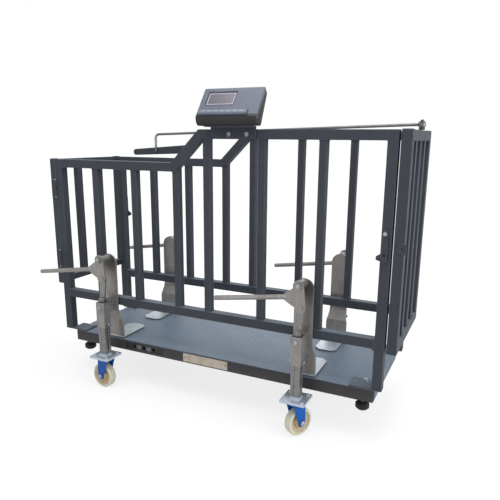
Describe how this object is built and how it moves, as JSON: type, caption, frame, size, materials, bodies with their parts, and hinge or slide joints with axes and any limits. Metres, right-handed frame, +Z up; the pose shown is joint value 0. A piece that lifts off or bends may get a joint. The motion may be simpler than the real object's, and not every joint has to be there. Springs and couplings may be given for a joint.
{
  "type": "livestock weighing crate",
  "caption": "Barred livestock crate on a weighing deck with a swinging entry gate and exit door, an indicator, and lever jacks that lower caster wheels for moving it.",
  "frame": {"origin": "centre of the weighing deck's top face", "axes": "+X along the crate to the tall exit end, +Y to the side away from the indicator, +Z up"},
  "size_m": [1.7087, 0.728, 1.367],
  "materials": {
    "deck_paint": "satin blue-grey paint over tread plate",
    "platform_paint": "satin dark paint on folded channels",
    "zinc_steel": "bright zinc plating",
    "rubber": "matte black",
    "box_plastic": "moulded dark plastic",
    "plate_metal": "blank, fine brushed",
    "frame_paint": "satin slate grey paint",
    "rod_steel": "drawn steel bar",
    "case_dark": "fine grain",
    "case_grey": "fine grain",
    "display": "smoked window",
    "keys": "membrane",
    "jack_steel": "rolled plate, dull",
    "leg_zinc": "dull zinc",
    "yoke_blue": "blue lacquer",
    "wheel_nylon": "cream nylon"
  },
  "bodies": {
    "crate": {"deck_plate": "deck_paint", "platform_channels": "platform_paint", "platform_ribs": "platform_paint", "load_cells": "zinc_steel", "rubber_feet": "rubber", "foot_studs": "zinc_steel", "junction_box": "box_plastic", "name_plate": "plate_metal", "plate_rivets": "zinc_steel", "corner_posts": "frame_paint", "panel_rails": "frame_paint", "panel_bars": "frame_paint", "post_feet": "frame_paint", "deck_bolts": "zinc_steel", "hinge_leaves": "frame_paint", "hinge_pins": "zinc_steel", "latch_bolts": "zinc_steel", "lever_bracket": "frame_paint", "lever_bolt": "zinc_steel", "indicator_base": "case_dark", "indicator_cover": "case_grey", "display_window": "display", "keypad": "keys", "indicator_bracket": "frame_paint", "bracket_bolts": "zinc_steel", "jack_brackets": "jack_steel", "jack_sleeves": "jack_steel"},
    "entry_gate": {"gate_frame": "frame_paint", "gate_bars": "frame_paint", "gate_straps": "frame_paint", "gate_keeper": "frame_paint"},
    "exit_door": {"door_frame": "frame_paint", "door_bars": "frame_paint", "door_straps": "frame_paint", "door_keeper": "frame_paint"},
    "gate_latch": {"gate_latch_arm": "zinc_steel"},
    "door_latch": {"door_latch_arm": "zinc_steel"},
    "opening_lever": {"door_lever": "frame_paint"},
    "opening_rod": {"door_rod": "rod_steel", "rod_end_bolt": "zinc_steel"},
    "jack_lever_fl": {"jack_lever_fl": "jack_steel"},
    "jack_link_fl": {"jack_link_fl": "jack_steel"},
    "jack_leg_fl": {"jack_leg_fl": "leg_zinc"},
    "caster_yoke_fl": {"caster_yoke_fl": "yoke_blue"},
    "caster_wheel_fl": {"caster_wheel_fl": "wheel_nylon"},
    "jack_lever_fr": {"jack_lever_fr": "jack_steel"},
    "jack_link_fr": {"jack_link_fr": "jack_steel"},
    "jack_leg_fr": {"jack_leg_fr": "leg_zinc"},
    "caster_yoke_fr": {"caster_yoke_fr": "yoke_blue"},
    "caster_wheel_fr": {"caster_wheel_fr": "wheel_nylon"},
    "jack_lever_bl": {"jack_lever_bl": "jack_steel"},
    "jack_link_bl": {"jack_link_bl": "jack_steel"},
    "jack_leg_bl": {"jack_leg_bl": "leg_zinc"},
    "caster_yoke_bl": {"caster_yoke_bl": "yoke_blue"},
    "caster_wheel_bl": {"caster_wheel_bl": "wheel_nylon"},
    "jack_lever_br": {"jack_lever_br": "jack_steel"},
    "jack_link_br": {"jack_link_br": "jack_steel"},
    "jack_leg_br": {"jack_leg_br": "leg_zinc"},
    "caster_yoke_br": {"caster_yoke_br": "yoke_blue"},
    "caster_wheel_br": {"caster_wheel_br": "wheel_nylon"}
  },
  "joints": [
    {"name": "gate_hinge", "type": "hinge", "parent": "crate", "child": "entry_gate", "pos_m": [-0.8145, -0.248, 0.54], "axis": [0, 0, 1], "range_deg": [0, 90]},
    {"name": "door_hinge", "type": "hinge", "parent": "crate", "child": "exit_door", "pos_m": [0.784, 0.248, 0.57], "axis": [0, 0, 1], "range_deg": [0, 90]},
    {"name": "door_latch_pivot", "type": "hinge", "parent": "crate", "child": "door_latch", "pos_m": [0.757, -0.2478, 0.617], "axis": [0, -1, 0], "range_deg": [0, 49.69]},
    {"name": "gate_latch_pivot", "type": "hinge", "parent": "crate", "child": "gate_latch", "pos_m": [-0.791, 0.2478, 0.617], "axis": [0, 1, 0], "range_deg": [0, 42.45]},
    {"name": "lever_pivot", "type": "hinge", "parent": "crate", "child": "opening_lever", "pos_m": [-0.382, 0.223, 0.89], "axis": [0, 1, 0], "range_deg": [0, 79.06]},
    {"name": "rod_pivot", "type": "hinge", "parent": "opening_lever", "child": "opening_rod", "pos_m": [-0.551, 0.223, 0.879], "axis": [-0.0722, -0.9935, 0.0877], "range_deg": [0, 72.07]},
    {"name": "lever_fl", "type": "hinge", "parent": "crate", "child": "jack_lever_fl", "pos_m": [-0.507, -0.3214, 0.402], "axis": [0, 1, 0], "range_deg": [0, 95]},
    {"name": "link_fl", "type": "hinge", "parent": "jack_lever_fl", "child": "jack_link_fl", "pos_m": [-0.49801, -0.312, 0.31647], "axis": [0, 1, 0], "range_deg": [-152.6, 0]},
    {"name": "leg_fl", "type": "slide", "parent": "crate", "child": "jack_leg_fl", "axis": [0, 0, 1], "range_m": [0, 0.12635]},
    {"name": "swivel_fl", "type": "hinge", "parent": "jack_leg_fl", "child": "caster_yoke_fl", "pos_m": [-0.507, -0.312, -0.09], "axis": [0, 0, 1], "continuous": true},
    {"name": "wheel_fl", "type": "hinge", "parent": "caster_yoke_fl", "child": "caster_wheel_fl", "pos_m": [-0.52095, -0.31078, -0.168], "axis": [-0.0872, -0.9962, 0], "continuous": true},
    {"name": "lever_fr", "type": "hinge", "parent": "crate", "child": "jack_lever_fr", "pos_m": [0.46, -0.3214, 0.402], "axis": [0, 1, 0], "range_deg": [0, 95]},
    {"name": "link_fr", "type": "hinge", "parent": "jack_lever_fr", "child": "jack_link_fr", "pos_m": [0.46899, -0.312, 0.31647], "axis": [0, 1, 0], "range_deg": [-152.6, 0]},
    {"name": "leg_fr", "type": "slide", "parent": "crate", "child": "jack_leg_fr", "axis": [0, 0, 1], "range_m": [0, 0.12635]},
    {"name": "swivel_fr", "type": "hinge", "parent": "jack_leg_fr", "child": "caster_yoke_fr", "pos_m": [0.46, -0.312, -0.09], "axis": [0, 0, 1], "continuous": true},
    {"name": "wheel_fr", "type": "hinge", "parent": "caster_yoke_fr", "child": "caster_wheel_fr", "pos_m": [0.46721, -0.3, -0.168], "axis": [-0.8572, 0.515, 0], "continuous": true},
    {"name": "lever_bl", "type": "hinge", "parent": "crate", "child": "jack_lever_bl", "pos_m": [-0.507, 0.3214, 0.402], "axis": [0, 1, 0], "range_deg": [0, 95]},
    {"name": "link_bl", "type": "hinge", "parent": "jack_lever_bl", "child": "jack_link_bl", "pos_m": [-0.49801, 0.312, 0.31647], "axis": [0, 1, 0], "range_deg": [-152.6, 0]},
    {"name": "leg_bl", "type": "slide", "parent": "crate", "child": "jack_leg_bl", "axis": [0, 0, 1], "range_m": [0, 0.12635]},
    {"name": "swivel_bl", "type": "hinge", "parent": "jack_leg_bl", "child": "caster_yoke_bl", "pos_m": [-0.507, 0.312, -0.09], "axis": [0, 0, 1], "continuous": true},
    {"name": "wheel_bl", "type": "hinge", "parent": "caster_yoke_bl", "child": "caster_wheel_bl", "pos_m": [-0.52016, 0.30721, -0.168], "axis": [0.342, -0.9397, 0], "continuous": true},
    {"name": "lever_br", "type": "hinge", "parent": "crate", "child": "jack_lever_br", "pos_m": [0.46, 0.3214, 0.402], "axis": [0, 1, 0], "range_deg": [0, 95]},
    {"name": "link_br", "type": "hinge", "parent": "jack_lever_br", "child": "jack_link_br", "pos_m": [0.46899, 0.312, 0.31647], "axis": [0, 1, 0], "range_deg": [-152.6, 0]},
    {"name": "leg_br", "type": "slide", "parent": "crate", "child": "jack_leg_br", "axis": [0, 0, 1], "range_m": [0, 0.12635]},
    {"name": "swivel_br", "type": "hinge", "parent": "jack_leg_br", "child": "caster_yoke_br", "pos_m": [0.46, 0.312, -0.09], "axis": [0, 0, 1], "continuous": true},
    {"name": "wheel_br", "type": "hinge", "parent": "caster_yoke_br", "child": "caster_wheel_br", "pos_m": [0.47147, 0.30397, -0.168], "axis": [0.5736, 0.8192, 0], "continuous": true}
  ],
  "couplings": [
    {"joint": "lever_pivot", "follows": "door_hinge", "ratio": 0.87828},
    {"joint": "rod_pivot", "follows": "door_hinge", "ratio": 0.8007},
    {"joint": "link_fl", "follows": "lever_fl", "ratio": -1.6057},
    {"joint": "leg_fl", "follows": "lever_fl", "m_per_rad": 0.076177},
    {"joint": "link_fr", "follows": "lever_fr", "ratio": -1.6057},
    {"joint": "leg_fr", "follows": "lever_fr", "m_per_rad": 0.076177},
    {"joint": "link_bl", "follows": "lever_bl", "ratio": -1.6057},
    {"joint": "leg_bl", "follows": "lever_bl", "m_per_rad": 0.076177},
    {"joint": "link_br", "follows": "lever_br", "ratio": -1.6057},
    {"joint": "leg_br", "follows": "lever_br", "m_per_rad": 0.076177}
  ]
}
